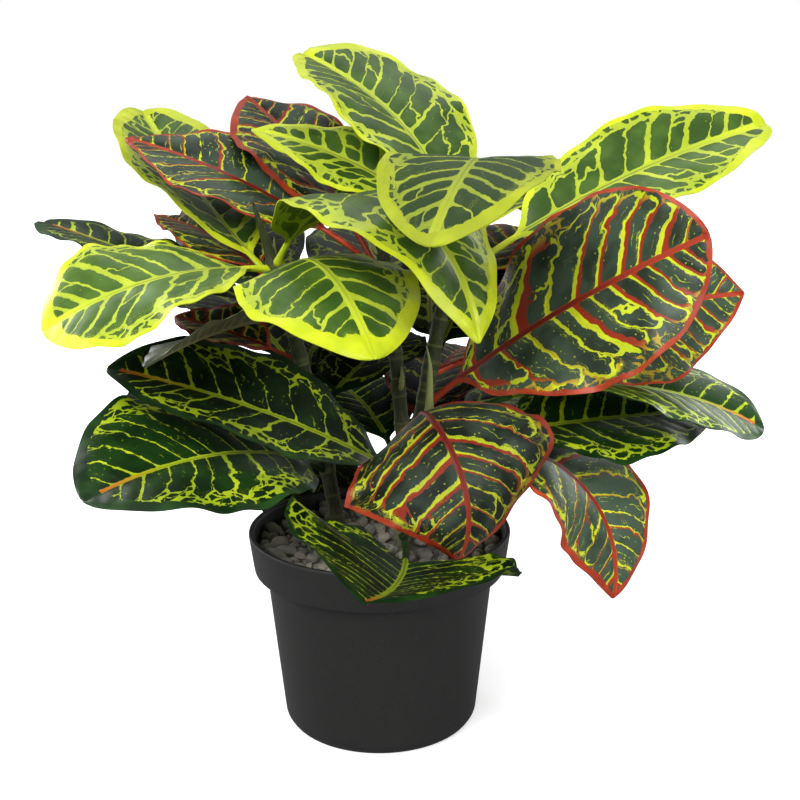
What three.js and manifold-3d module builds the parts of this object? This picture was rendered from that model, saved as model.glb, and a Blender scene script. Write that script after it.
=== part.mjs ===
// A potted croton: variegated leaves on three stems, standing in gravel in a black nursery pot.
// Millimetres, +Z up. The origin is the middle of the pot's underside. The front is at -Y.
import * as THREE from 'three';
import { mergeVertices } from 'three/addons/utils/BufferGeometryUtils.js';
import Module from 'manifold-3d';

const wasm = await Module();
wasm.setup();

// Clearance between pieces that touch
const GAP = 0.3;

// Pot
const POT_HEIGHT = 91.5;
const RIM_RADIUS = 60;
const BAND_RADIUS = 58;
const BAND_HEIGHT = 19;
const BAND_FLARE = 3;
const BAND_ROUND = 1.6;
const BODY_TOP_RADIUS = 52.2;
const BASE_RADIUS = 45;
const WALL = 1.8;
const FLOOR = 2.4;
const CORNER = 3;
const LIP = 0.7;
const POT_SIDES = 48;
const DRAIN_COUNT = 6;
const DRAIN_RADIUS = 4;
const DRAIN_RING = 29;
const DRAIN_SIDES = 12;

// Soil and gravel
const SOIL_TOP = 76;
const GRAVEL_TOP = 84;
const GRAVEL_FLARE = 1;
const PEBBLE_RISE = 3;
const LOWEST_PEBBLE = 0.2;
const PEBBLE_PITCH = 9;
const PEBBLE_SHIFT = 2.5;
const GRAVEL_RINGS = 9;
const GRAVEL_SIDES = 36;

// Stems
const STEM_FOOT = 24;
const STEM_RADIUS = 3.6;
const STEM_SIDES = 10;
const STEM_STEPS = 10;

// Leaves
const STALK_RADIUS = 1.7;
const STALK_SPREAD = 81;
const BLADE_THICKNESS = 0.9;
const BLADE_STARTS = 0.14;
const BASE_FULLNESS = 1.9;
const BASE_ROUNDNESS = 0.85;
const WAVE = 0.03;
const WAVES_PER_BLADE = 2.3;
const MARGIN_LAG = 1.3;
const LEAF_LAG = 2.4;
const PATH_STEPS = 120;
const CROSS_STEPS = 12;
const ACROSS = [-1, -0.55, 0, 0.55, 1];
const STALK_ALONG = [0, 0.45];
const BLADE_ALONG = [0, 0.06, 0.14, 0.24, 0.35, 0.46, 0.57, 0.68, 0.78, 0.87, 0.94, 0.98, 1];

// Where a blade is widest, and how it narrows to its tip
const TIPS = {
  blunt: { widest: 0.58, end: 0.05, fullness: 2.4, roundness: 0.72 },
  point: { widest: 0.5, end: 0.02, fullness: 1.7, roundness: 0.95 },
  cut: { widest: 0.55, end: 0.22, fullness: 2.2, roundness: 0.8 },
};

// Each stem leans from its foot to its top, with a bow between them
const STEMS = {
  left: { foot: [-12, 17], top: [-55, 16], bow: [5, 7], height: 238 },
  right: { foot: [5, -4], top: [41, 9], bow: [-6, -4.5], height: 240 },
  back: { foot: [16, 30], top: [0, 44], bow: [3.5, 0], height: 230 },
};

const finish = (color, roughness) => new THREE.MeshStandardMaterial({ color, roughness, metalness: 0 });
const FINISHES = {
  yellow: finish(0x6f9a3f, 0.45),
  red: finish(0x7d3b2e, 0.45),
  dark: finish(0x2f4a35, 0.45),
  stem: finish(0x6b7050, 0.6),
  pot: finish(0x232426, 0.55),
  gravel: finish(0x8b8578, 0.9),
  soil: finish(0x3a332c, 1),
};

// Angles are in degrees. A leaf leaves its stem at a height in the azimuth's direction, 0 at +X and
// 90 at the back. Its midrib starts at the rise and ends at the rise less the droop, and its azimuth
// turns by the sweep. The blade rolls about the midrib, twists further by its tip, and folds up
// along the midrib by the fold, less the arch at its margins.
const COLUMNS = [
  'name', 'finish', 'stem', 'height', 'azimuth', 'rise', 'droop', 'sweep',
  'stalk', 'blade', 'width', 'roll', 'twist', 'fold', 'arch', 'tip',
];
const LEAVES = [
  // Top
  ['top_yellow', 'yellow', 'right', 228, 112, 50, 28, 42, 7, 125, 73, -2, 19, 20, 17, 'cut'],
  ['top_red_back', 'red', 'back', 202, 135, 54, 30, -6, 26, 109, 71, -3, 16, 14, 17, 'point'],
  ['upper_left_yellow', 'yellow', 'left', 203, 129, 27, -3, -10, 17, 142, 67, 0, -2, 21, 8, 'cut'],
  ['left_shade', 'dark', 'left', 191, 113, 28, 14, -6, 15, 123, 68, 22, -22, -6, 25, 'blunt'],
  ['upper_left_red', 'red', 'back', 206, 170, 38, 26, -12, 27, 115, 66, 22, -3, 14, 12, 'point'],
  ['mid_top_yellow', 'yellow', 'right', 223, 138, 37, 26, 34, 21, 92, 45, 32, -7, 17, 22, 'point'],
  ['centre_arch', 'yellow', 'left', 211, -43, 58, 136, -8, 7, 150, 81, -5, 9, 12, 27, 'point'],
  ['centre_front', 'yellow', 'right', 231, -78, 55, 112, -48, 11, 113, 68, 5, -7, 5, 7, 'blunt'],
  // Right side
  ['top_right', 'yellow', 'right', 207, 23, 31, 16, -14, 29, 137, 59, -37, 0, 20, 16, 'cut'],
  ['big_red', 'red', 'right', 152, -21, 41, 15, -8, 12, 129, 83, -45, -31, 6, 9, 'blunt'],
  ['right_back_green', 'red', 'right', 165, 16, 18, 17, 4, 37, 125, 79, -50, -26, 18, 11, 'point'],
  ['right_droop', 'dark', 'right', 138, 6, 28, 59, -4, 36, 128, 63, 10, -39, 13, 16, 'blunt'],
  ['lower_right_dark', 'dark', 'right', 132, 6, 7, 8, 10, 35, 106, 76, -21, -4, 18, 17, 'point'],
  ['lower_right_red', 'red', 'right', 124, 5, 29, 129, -36, 24, 111, 73, -2, -34, 8, 10, 'point'],
  // Front
  ['front_red', 'red', 'right', 142, -92, 41, 163, 60, 10, 92, 96, -23, 9, -6, 14, 'point'],
  ['front_green', 'dark', 'right', 89, -88, 4, -16, -17, 37, 116, 96, 14, -3, 29, 9, 'blunt'],
  // Left side
  ['lower_left_1', 'dark', 'right', 116, 196, 34, 23, -21, 7, 133, 64, 34, -17, 15, 1, 'blunt'],
  ['lower_left_2', 'dark', 'left', 114, -126, 30, 47, -16, 7, 125, 93, 27, -14, 15, 15, 'blunt'],
  ['left_back_dark', 'dark', 'left', 186, 164, 23, 9, -4, 17, 112, 62, -1, 2, 11, 13, 'cut'],
  ['left_red_small', 'red', 'left', 199, 123, 24, 17, 20, 17, 87, 45, 13, -15, 13, 10, 'point'],
  ['left_thin', 'dark', 'left', 187, -123, 5, 19, 1, 9, 82, 57, -26, 3, 13, 11, 'point'],
  ['front_left_hang', 'yellow', 'left', 197, -76, 46, 104, 19, 7, 115, 75, -17, 21, -3, 15, 'blunt'],
  ['left_yellow', 'yellow', 'left', 209, -143, 10, 44, -30, 7, 98, 79, 3, 30, 11, 15, 'blunt'],
  ['left_mid_red', 'red', 'left', 167, 169, 22, 14, -17, 9, 54, 40, 11, 7, 17, 9, 'point'],
  // Middle and back
  ['centre_back', 'dark', 'back', 188, 170, 10, 14, 0, 18, 50, 42, 20, 0, 12, 12, 'point'],
  ['olive_back', 'dark', 'right', 170, 90, 58, 10, 0, 12, 50, 38, 30, 0, 12, 12, 'point'],
  ['back_right_high', 'yellow', 'right', 214, 56, 36, 64, 0, 20, 112, 60, 10, 0, 14, 14, 'blunt'],
  ['back_high', 'yellow', 'back', 220, 52, 36, 66, 0, 18, 112, 68, 0, 0, 14, 14, 'point'],
  ['back_mid_right', 'red', 'back', 176, 44, 34, 40, 0, 20, 124, 76, 0, 0, 14, 14, 'blunt'],
  ['back_mid', 'dark', 'back', 164, 98, 40, 36, 0, 20, 124, 72, 0, 0, 14, 14, 'point'],
  ['back_mid_left', 'dark', 'left', 152, 122, 34, 40, 0, 16, 112, 70, 0, 0, 14, 14, 'blunt'],
  ['back_low_right', 'dark', 'back', 130, 20, 16, 40, 0, 24, 108, 60, 0, 0, 14, 14, 'point'],
  ['back_low', 'red', 'back', 116, 72, 34, 44, 0, 20, 114, 68, 0, 0, 14, 14, 'blunt'],
  ['back_low_left', 'dark', 'left', 128, 156, 8, 42, 0, 18, 110, 66, 0, 0, 14, 14, 'blunt'],
  ['back_low_far', 'dark', 'back', 106, 112, 34, 52, 0, 20, 112, 68, 0, 0, 14, 14, 'point'],
  ['centre_dark', 'dark', 'left', 138, 62, 26, 26, 0, 14, 88, 56, 0, 0, 14, 14, 'point'],
  ['inner_right', 'dark', 'right', 160, 73, 35, 27, -15, 23, 101, 76, -7, 19, -6, 17, 'blunt'],
  ['inner_low_left', 'dark', 'left', 113, 84, 3, 75, 65, 26, 86, 70, -22, -6, 12, 19, 'point'],
  ['inner_back_long', 'dark', 'left', 122, 107, 44, 63, -32, 38, 88, 58, -20, 4, 9, 7, 'blunt'],
  ['inner_left', 'dark', 'left', 134, 155, 35, 69, -7, 27, 91, 57, 25, 6, 16, 10, 'blunt'],
  ['inner_back_low', 'dark', 'back', 122, 43, 12, 29, 6, 18, 106, 45, -13, -2, 6, 14, 'blunt'],
];

const radians = THREE.MathUtils.degToRad;

function stemPoint(stem, height) {
  const u = (height - STEM_FOOT) / (stem.height - STEM_FOOT);
  const bow = 4 * u * (1 - u);
  return new THREE.Vector3(
    THREE.MathUtils.lerp(stem.foot[0], stem.top[0], u) + stem.bow[0] * bow,
    THREE.MathUtils.lerp(stem.foot[1], stem.top[1], u) + stem.bow[1] * bow,
    height,
  );
}

class StemCurve extends THREE.Curve {
  constructor(stem) {
    super();
    this.stem = stem;
  }

  getPoint(u) {
    return stemPoint(this.stem, THREE.MathUtils.lerp(STEM_FOOT, this.stem.height, u));
  }
}

function circle(radius, sides) {
  const points = [];
  for (let k = 0; k < sides; k += 1) {
    const turn = (2 * Math.PI * k) / sides;
    points.push(new THREE.Vector2(radius * Math.cos(turn), radius * Math.sin(turn)));
  }
  return new THREE.Shape(points);
}

function stemGeometry(stem, radius) {
  const extrudePath = new StemCurve(stem);
  return new THREE.ExtrudeGeometry(circle(radius, STEM_SIDES), { steps: STEM_STEPS, extrudePath });
}

// A ring about Z from a profile of radius and height, which closes on itself
function turned(profile, sides) {
  const points = profile.map(([radius, height]) => new THREE.Vector2(radius, height));
  points.push(points[0].clone());
  return new THREE.LatheGeometry(points, sides).rotateX(Math.PI / 2);
}

function toSolid(geometry) {
  const bare = geometry.clone();
  bare.deleteAttribute('normal');
  bare.deleteAttribute('uv');
  const merged = mergeVertices(bare, 1e-4);
  const vertProperties = new Float32Array(merged.attributes.position.array);
  const triVerts = new Uint32Array(merged.index.array);
  return new wasm.Manifold(new wasm.Mesh({ numProp: 3, vertProperties, triVerts }));
}

function toGeometry(solid) {
  const mesh = solid.getMesh();
  const geometry = new THREE.BufferGeometry();
  geometry.setAttribute('position', new THREE.BufferAttribute(mesh.vertProperties, 3));
  geometry.setIndex(new THREE.BufferAttribute(mesh.triVerts, 1));
  geometry.computeVertexNormals();
  return geometry;
}

// The pot's outside, its rolled lip and its inside, with the step under the band on both sides
function potGeometry() {
  const bandFoot = POT_HEIGHT - BAND_HEIGHT;
  const bevel = CORNER * (1 - Math.SQRT1_2);
  const profile = [
    [0, 0],
    [BASE_RADIUS - CORNER, 0],
    [BASE_RADIUS - bevel, bevel],
    [BASE_RADIUS, CORNER],
    [BODY_TOP_RADIUS, bandFoot],
    [BAND_RADIUS - BAND_ROUND, bandFoot + BAND_ROUND / 2],
    [BAND_RADIUS, bandFoot + BAND_FLARE],
    [RIM_RADIUS, POT_HEIGHT - LIP],
    [RIM_RADIUS - LIP, POT_HEIGHT],
    [RIM_RADIUS - WALL, POT_HEIGHT],
    [RIM_RADIUS - WALL - LIP, POT_HEIGHT - LIP],
    [BAND_RADIUS - WALL - LIP, bandFoot + BAND_FLARE + GAP],
    [BODY_TOP_RADIUS - WALL, bandFoot + BAND_FLARE - WALL],
    [BASE_RADIUS - WALL, FLOOR + CORNER],
    [BASE_RADIUS - WALL - CORNER, FLOOR],
    [0, FLOOR],
  ];
  let pot = toSolid(turned(profile, POT_SIDES));
  for (let k = 0; k < DRAIN_COUNT; k += 1) {
    const turn = (2 * Math.PI * k) / DRAIN_COUNT;
    const drain = new THREE.CylinderGeometry(DRAIN_RADIUS, DRAIN_RADIUS, 4 * FLOOR, DRAIN_SIDES);
    drain.rotateX(Math.PI / 2);
    drain.translate(DRAIN_RING * Math.cos(turn), DRAIN_RING * Math.sin(turn), 0);
    pot = pot.subtract(toSolid(drain));
  }
  return toGeometry(pot);
}

function withStemHoles(geometry) {
  let solid = toSolid(geometry);
  for (const stem of Object.values(STEMS)) {
    solid = solid.subtract(toSolid(stemGeometry(stem, STEM_RADIUS + GAP)));
  }
  return toGeometry(solid);
}

function soilGeometry() {
  const bandFoot = POT_HEIGHT - BAND_HEIGHT;
  const wallGap = WALL + 2 * GAP;
  const profile = [
    [0, FLOOR + GAP],
    [BASE_RADIUS - wallGap - CORNER, FLOOR + GAP],
    [BASE_RADIUS - wallGap, FLOOR + CORNER],
    [BODY_TOP_RADIUS - wallGap, bandFoot],
    [BODY_TOP_RADIUS - wallGap, SOIL_TOP],
    [0, SOIL_TOP],
  ];
  return withStemHoles(turned(profile, GRAVEL_SIDES));
}

// Height of the gravel over its bed: round pebbles in a staggered pattern, no two rows alike
function pebbleRise(x, y) {
  const row = Math.round(y / PEBBLE_PITCH);
  const shift = PEBBLE_PITCH * 0.5 * Math.abs(row % 2) + PEBBLE_SHIFT * Math.sin(3 * row);
  const column = Math.round((x - shift) / PEBBLE_PITCH);
  const along = (x - shift) / PEBBLE_PITCH - column;
  const across = y / PEBBLE_PITCH - row;
  const size = THREE.MathUtils.lerp(LOWEST_PEBBLE, 1, 0.5 + 0.5 * Math.sin(7 * column + 5 * row));
  return PEBBLE_RISE * size * (1 - 2 * (along * along + across * across));
}

function gravelGeometry() {
  const bed = BAND_RADIUS - WALL - LIP - GAP;
  const radius = bed + GRAVEL_FLARE;
  const profile = [
    [0, SOIL_TOP + GAP],
    [bed, SOIL_TOP + GAP],
  ];
  for (let k = GRAVEL_RINGS; k >= 0; k -= 1) {
    profile.push([(radius * k) / GRAVEL_RINGS, GRAVEL_TOP]);
  }
  const geometry = turned(profile, GRAVEL_SIDES);
  const position = geometry.attributes.position;
  for (let k = 0; k < position.count; k += 1) {
    const x = position.getX(k);
    const y = position.getY(k);
    const inside = Math.hypot(x, y) < radius - 0.1;
    if (inside && position.getZ(k) > GRAVEL_TOP - 0.1) {
      position.setZ(k, GRAVEL_TOP + pebbleRise(x, y));
    }
  }
  return withStemHoles(geometry);
}

// The midrib from the stem to the tip, with its direction at each step
function midrib(leaf) {
  const stem = STEMS[leaf.stem];
  const axis = stemPoint(stem, leaf.height + 1).sub(stemPoint(stem, leaf.height - 1)).normalize();
  const out = new THREE.Vector3(Math.cos(radians(leaf.azimuth)), Math.sin(radians(leaf.azimuth)), 0);
  out.addScaledVector(axis, -out.dot(axis)).normalize();
  const seat = stemPoint(stem, leaf.height).addScaledVector(out, STEM_RADIUS + GAP);
  const step = (leaf.stalk + leaf.blade) / PATH_STEPS;
  const points = [seat];
  for (let k = 0; k < PATH_STEPS; k += 1) {
    const along = direction(leaf, (k + 0.5) / PATH_STEPS).tangent;
    points.push(points[k].clone().addScaledVector(along, step));
  }
  return { seat, out, points };
}

// The way the midrib runs, the blade's right side and its upper face's way, at a share of the length
function direction(leaf, share) {
  const rise = radians(leaf.rise - leaf.droop * share);
  const turn = radians(leaf.azimuth + leaf.sweep * share);
  const tangent = new THREE.Vector3(
    Math.cos(rise) * Math.cos(turn),
    Math.cos(rise) * Math.sin(turn),
    Math.sin(rise),
  );
  const side = new THREE.Vector3(Math.sin(turn), -Math.cos(turn), 0);
  const up = side.clone().cross(tangent);
  return { tangent, side, up };
}

function halfWidth(leaf, t) {
  const { widest, end, fullness, roundness } = TIPS[leaf.tip];
  if (t < widest) {
    return 0.5 * leaf.width * (1 - ((widest - t) / widest) ** BASE_FULLNESS) ** BASE_ROUNDNESS;
  }
  const past = (t - widest) / (1 - widest);
  return 0.5 * leaf.width * (end + (1 - end) * (1 - past ** fullness) ** roundness);
}

// Sideways place and lift of a point across the blade, both as shares of the half width
function crossSection(leaf, across) {
  const reach = Math.abs(across);
  let place = 0;
  let lift = 0;
  for (let k = 0; k < CROSS_STEPS; k += 1) {
    const slope = radians(leaf.fold - (leaf.arch * reach * (k + 0.5)) / CROSS_STEPS);
    place += (reach * Math.cos(slope)) / CROSS_STEPS;
    lift += (reach * Math.sin(slope)) / CROSS_STEPS;
  }
  return { place: Math.sign(across) * place, lift };
}

// One ring of the leaf: the upper face from left to right, then the lower face from right to left
function leafRing(leaf, centre, share, t) {
  const { side, up } = direction(leaf, share);
  const roll = radians(leaf.roll + leaf.twist * t);
  const right = side.clone().multiplyScalar(Math.cos(roll)).addScaledVector(up, Math.sin(roll));
  const above = up.clone().multiplyScalar(Math.cos(roll)).addScaledVector(side, -Math.sin(roll));
  const blade = THREE.MathUtils.smoothstep(t, 0, BLADE_STARTS);
  const half = t > 0 ? halfWidth(leaf, t) : 0;
  const place = (x, z) => centre.clone().addScaledVector(right, x).addScaledVector(above, z);
  const upper = [];
  const lower = [];
  for (const across of ACROSS) {
    const section = crossSection(leaf, across);
    const lag = MARGIN_LAG * Math.sign(across) + LEAF_LAG * leaf.index;
    const swell = across * across * Math.sqrt(Math.sin(Math.PI * t));
    const swing = leaf.width * WAVE * swell * Math.sin(2 * Math.PI * WAVES_PER_BLADE * t + lag);
    const around = radians(90 - STALK_SPREAD * across);
    const x = THREE.MathUtils.lerp(STALK_RADIUS * Math.cos(around), half * section.place, blade);
    const lift = blade * (half * section.lift + swing);
    const thick = THREE.MathUtils.lerp(STALK_RADIUS * Math.sin(around), BLADE_THICKNESS / 2, blade);
    upper.push(place(x, lift + thick));
    lower.push(place(x, lift - thick));
  }
  return [...upper, ...lower.reverse()];
}

// Joins the rings; a square of the lower face is split along the same diagonal as the one above it
function leafGeometry(leaf) {
  const { seat, out, points } = midrib(leaf);
  const length = leaf.stalk + leaf.blade;
  const at = (share) => {
    const place = Math.min(share * PATH_STEPS, PATH_STEPS - 1e-6);
    const k = Math.floor(place);
    return points[k].clone().lerp(points[k + 1], place - k);
  };
  const rings = [];
  for (const s of STALK_ALONG) {
    const share = (s * leaf.stalk) / length;
    rings.push(leafRing(leaf, at(share), share, 0));
  }
  for (const t of BLADE_ALONG) {
    const share = (leaf.stalk + t * leaf.blade) / length;
    rings.push(leafRing(leaf, at(share), share, t));
  }
  const start = direction(leaf, 0).tangent;
  for (const point of rings[0]) {
    point.addScaledVector(start, -point.clone().sub(seat).dot(out) / start.dot(out));
  }
  const count = rings[0].length;
  const across = ACROSS.length;
  const faces = [];
  for (let i = 0; i + 1 < rings.length; i += 1) {
    for (let k = 0; k < count; k += 1) {
      const a = i * count + k;
      const b = i * count + ((k + 1) % count);
      const c = b + count;
      const d = a + count;
      if (k < across) {
        faces.push(a, b, c, a, c, d);
      } else {
        faces.push(a, b, d, b, c, d);
      }
    }
  }
  const last = (rings.length - 1) * count;
  for (let k = 0; k + 1 < across; k += 1) {
    const under = count - 1 - k;
    faces.push(k, under, under - 1, k, under - 1, k + 1);
    faces.push(last + k, last + under - 1, last + under, last + k, last + k + 1, last + under - 1);
  }
  const geometry = new THREE.BufferGeometry().setFromPoints(rings.flat());
  geometry.setIndex(faces);
  geometry.computeVertexNormals();
  return geometry;
}

const croton = new THREE.Group();

function add(name, geometry, material) {
  const mesh = new THREE.Mesh(geometry, material);
  mesh.name = name;
  croton.add(mesh);
}

add('pot', potGeometry(), FINISHES.pot);
add('soil', soilGeometry(), FINISHES.soil);
add('gravel', gravelGeometry(), FINISHES.gravel);
for (const [name, stem] of Object.entries(STEMS)) {
  add(`stem_${name}`, stemGeometry(stem, STEM_RADIUS), FINISHES.stem);
}
LEAVES.forEach((row, index) => {
  const leaf = { index };
  COLUMNS.forEach((column, k) => {
    leaf[column] = row[k];
  });
  add(`leaf_${leaf.name}`, leafGeometry(leaf), FINISHES[leaf.finish]);
});

export default croton;
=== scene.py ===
# %% [markdown]
# A potted croton. The real object is a young bush in a 12 cm nursery pot: three thin stems stand in
# soil under a layer of gravel, and carry broad leathery leaves whose dark green is broken up by
# yellow and red veins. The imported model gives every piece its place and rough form. This lesson puts
# a finer piece of the same form in the place of all but the soil, and gives each a finish of nodes.

import math

import bmesh
import bpy
import numpy as np
from mathutils import Matrix, Quaternion, Vector


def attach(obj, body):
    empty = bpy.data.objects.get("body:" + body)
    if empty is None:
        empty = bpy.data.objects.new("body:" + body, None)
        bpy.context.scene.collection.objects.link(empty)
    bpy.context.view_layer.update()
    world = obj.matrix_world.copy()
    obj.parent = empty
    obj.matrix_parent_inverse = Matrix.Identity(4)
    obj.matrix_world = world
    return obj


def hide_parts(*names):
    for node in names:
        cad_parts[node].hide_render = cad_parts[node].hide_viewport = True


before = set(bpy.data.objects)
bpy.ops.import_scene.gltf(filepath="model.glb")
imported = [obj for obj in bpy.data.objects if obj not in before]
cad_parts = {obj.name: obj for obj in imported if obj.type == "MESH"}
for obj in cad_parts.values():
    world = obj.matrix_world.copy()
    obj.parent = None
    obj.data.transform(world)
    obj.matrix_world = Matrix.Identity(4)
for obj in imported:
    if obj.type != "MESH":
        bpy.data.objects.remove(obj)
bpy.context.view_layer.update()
MM = 0.001


def put(name, data):
    """An object in the scene for a mesh, a light or a camera."""
    made = bpy.data.objects.new(name, data)
    bpy.context.scene.collection.objects.link(made)
    return made


print("nodes in the frame:", len(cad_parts))

# %% [markdown]
# The camera stands where the photographer's did: half a metre in front of the plant, a little below
# its top, looking down by 13.6 degrees. Its place comes from the outline of the pot, whose rim and
# base are circles of known size. A matrix of the camera's own right, up and back says all of that at
# once, so no tracking constraint is needed.

# %% Camera
CAMERA_PLACE = (0.0, -501.0, 272.0)
CAMERA_PITCH, CAMERA_YAW, CAMERA_ROLL = 13.57, 1.10, -0.24
FOCAL_PIXELS, FRAME_PIXELS, SENSOR_WIDTH = 1148.0, 800.0, 36.0


def aim_camera():
    """A camera at the photographer's place, turned by pitch, yaw and roll in degrees."""
    pitch, yaw, roll = (math.radians(a) for a in (CAMERA_PITCH, CAMERA_YAW, CAMERA_ROLL))
    ahead = Vector((math.sin(yaw) * math.cos(pitch), math.cos(yaw) * math.cos(pitch), -math.sin(pitch)))
    level = Vector((math.cos(yaw), -math.sin(yaw), 0))
    upright = level.cross(ahead)
    right = math.cos(roll) * level + math.sin(roll) * upright
    up = math.cos(roll) * upright - math.sin(roll) * level
    turn = Matrix((right, up, -ahead)).transposed().to_4x4()
    camera = put("camera", bpy.data.cameras.new("camera"))
    camera.matrix_world = Matrix.Translation(Vector(CAMERA_PLACE) * MM) @ turn
    camera.data.sensor_width = SENSOR_WIDTH
    camera.data.lens = FOCAL_PIXELS * SENSOR_WIDTH / FRAME_PIXELS
    camera.data.clip_start, camera.data.clip_end = 0.01, 30
    bpy.context.scene.camera = camera
    return camera


camera = aim_camera()
print("lens in mm:", round(camera.data.lens, 2))

# %% [markdown]
# Every material below is a small wiring plan. Building one by hand takes many lines of the same two
# kinds: make a node, and join or set its sockets. Two short helper classes do both: one makes nodes,
# and the other stands for what a node puts out, so that a sum of such values can be written with
# + - * and / and makes the math nodes that work it out.

# %% A helper for wiring nodes


class Value:
    """What a node puts out. A sum with it makes the math node for that sum."""

    def __init__(self, wiring, socket):
        self.wiring, self.socket = wiring, socket

    def __getitem__(self, name):
        """Another output of the same node."""
        return Value(self.wiring, self.socket.node.outputs[name])

    def __add__(self, other):
        return self.wiring.calc("ADD", self, other)

    def __mul__(self, other):
        return self.wiring.calc("MULTIPLY", self, other)

    def __sub__(self, other):
        return self.wiring.calc("SUBTRACT", self, other)

    def __rsub__(self, other):
        return self.wiring.calc("SUBTRACT", other, self)

    def __truediv__(self, other):
        return self.wiring.calc("DIVIDE", self, other)

    def __rtruediv__(self, other):
        return self.wiring.calc("DIVIDE", other, self)

    def __abs__(self):
        return self.wiring.calc("ABSOLUTE", self)


class Wiring:
    """Makes nodes in one tree and joins them. What goes into a node is a Value, a number or a tuple."""

    def __init__(self, tree):
        self.tree = tree

    def plug(self, socket, value):
        if isinstance(value, Value):
            self.tree.links.new(value.socket, socket)
        else:
            socket.default_value = value

    def node(self, kind, inputs, output=0, **settings):
        """One output of a new node, whose inputs are given by their names or numbers."""
        made = self.tree.nodes.new(kind)
        for key, value in settings.items():
            setattr(made, key, value)
        for key, value in inputs.items():
            self.plug(made.inputs[key], value)
        return Value(self, made.outputs[output])

    def calc(self, operation, *values):
        return self.node("ShaderNodeMath", dict(enumerate(values)), operation=operation)

    def step(self, value, low, high):
        """Rises smoothly from 0 at low to 1 at high."""
        given = {"Value": value, "From Min": low, "From Max": high}
        return self.node("ShaderNodeMapRange", given, interpolation_type="SMOOTHSTEP")

    def line(self, distance, half_width, softness=0.12):
        """1 nearer than half_width to a line, 0 beyond it."""
        return 1.0 - self.step(distance, half_width - softness, half_width + softness)

    def within(self, gap):
        """1 where a gap in millimetres has closed, 0 where it is open, with a soft edge."""
        return 1.0 - self.step(gap, -0.12, 0.16)

    def mix(self, share, first, second):
        """A number between first and second."""
        return self.node("ShaderNodeMix", {0: share, 2: first, 3: second}, data_type="FLOAT")

    def tint(self, share, first, second):
        """A colour between first and second."""
        return self.node("ShaderNodeMix", {0: share, 6: first, 7: second}, 2, data_type="RGBA")

    def point(self, x, y, z=0.0):
        return self.node("ShaderNodeCombineXYZ", {"X": x, "Y": y, "Z": z})

    def noise(self, vector, scale, detail=2.0, roughness=0.5):
        given = {"Vector": vector, "Scale": scale, "Detail": detail, "Roughness": roughness}
        return self.node("ShaderNodeTexNoise", given)

    def cells(self, vector, scale, randomness, feature="F1"):
        """How far each point is from the middle, or the edge, of the flat cell that it lies in."""
        given = {"Vector": vector, "Scale": scale, "Randomness": randomness}
        settings = {"feature": feature, "voronoi_dimensions": "2D"}
        return self.node("ShaderNodeTexVoronoi", given, "Distance", **settings)

    def chance(self, vector, dimensions="3D"):
        """A random number from 0 to 1, the same wherever the vector is the same."""
        given = {"Vector": vector}
        return self.node("ShaderNodeTexWhiteNoise", given, "Value", noise_dimensions=dimensions)

    def attributes(self, names):
        """The numbers that the mesh carries by these names."""
        return [self.node("ShaderNodeAttribute", {}, "Fac", attribute_name=name) for name in names.split()]

    def place(self, scale=1000.0):
        """The place in the object, in millimetres by default."""
        metres = self.node("ShaderNodeTexCoord", {}, "Object")
        return self.node("ShaderNodeVectorMath", {"Vector": metres, "Scale": scale}, operation="SCALE")

    def group(self, tree, **inputs):
        return self.node("ShaderNodeGroup", inputs, node_tree=tree)

    def surface(self, inputs):
        """Plugs values into the material's one shader."""
        for key, value in inputs.items():
            self.plug(self.tree.nodes["Principled BSDF"].inputs[key], value)

    def finish(self, colour, roughness, gloss, height, depth=1.0, strength=1.0):
        """A surface of a colour, a roughness, a gloss and a bump of a depth in millimetres."""
        bump = self.node("ShaderNodeBump", {"Height": height, "Distance": depth * MM, "Strength": strength})
        self.surface({"Base Color": colour, "Roughness": roughness,
                      "Specular IOR Level": gloss, "Normal": bump})


Value.__radd__, Value.__rmul__ = Value.__add__, Value.__mul__


def new_group(name, inputs, outputs):
    """A group with named numbers: its wiring, what it is given, and the sockets that it puts out."""
    tree = bpy.data.node_groups.new(name, "ShaderNodeTree")
    for label, value in inputs.items():
        socket = tree.interface.new_socket(label, in_out="INPUT", socket_type="NodeSocketFloat")
        socket.default_value = value
    for label in outputs:
        tree.interface.new_socket(label, in_out="OUTPUT", socket_type="NodeSocketFloat")
    w = Wiring(tree)
    return w, w.node("NodeGroupInput", {}), tree.nodes.new("NodeGroupOutput").inputs


def new_material(name):
    """A material and its wiring."""
    material = bpy.data.materials.new(name)
    material.use_nodes = True
    return material, Wiring(material.node_tree)


def linear(red, green, blue):
    """A colour as a picture shows it, 0 to 255, as the light that it stands for."""
    parts = [c / 255 for c in (red, green, blue)]
    return tuple(c / 12.92 if c <= 0.04045 else ((c + 0.055) / 1.055) ** 2.4 for c in parts) + (1.0,)


print("a mid grey of 128 as light:", round(linear(128, 128, 128)[0], 3))

# %% [markdown]
# A mesh made from arrays is quick and exact: every vertex is worked out from the object's own sizes,
# and can carry numbers of its own, such as how far along a leaf it lies. The materials read those
# numbers, so a vein follows its leaf however the leaf bends.

# %% A helper for making pieces


def put_mesh(name, points, faces):
    """An object in the scene made of points in millimetres and faces."""
    mesh = bpy.data.meshes.new(name)
    mesh.from_pydata((np.asarray(points, float) * MM).tolist(), [], faces)
    return put(name, mesh)


def rows_of(items, key, width, kind):
    """One number or more for each of a mesh's vertices, edges or triangles, as rows."""
    values = np.empty(len(items) * width, kind)
    items.foreach_get(key, values)
    return values.reshape(-1, width)


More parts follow.
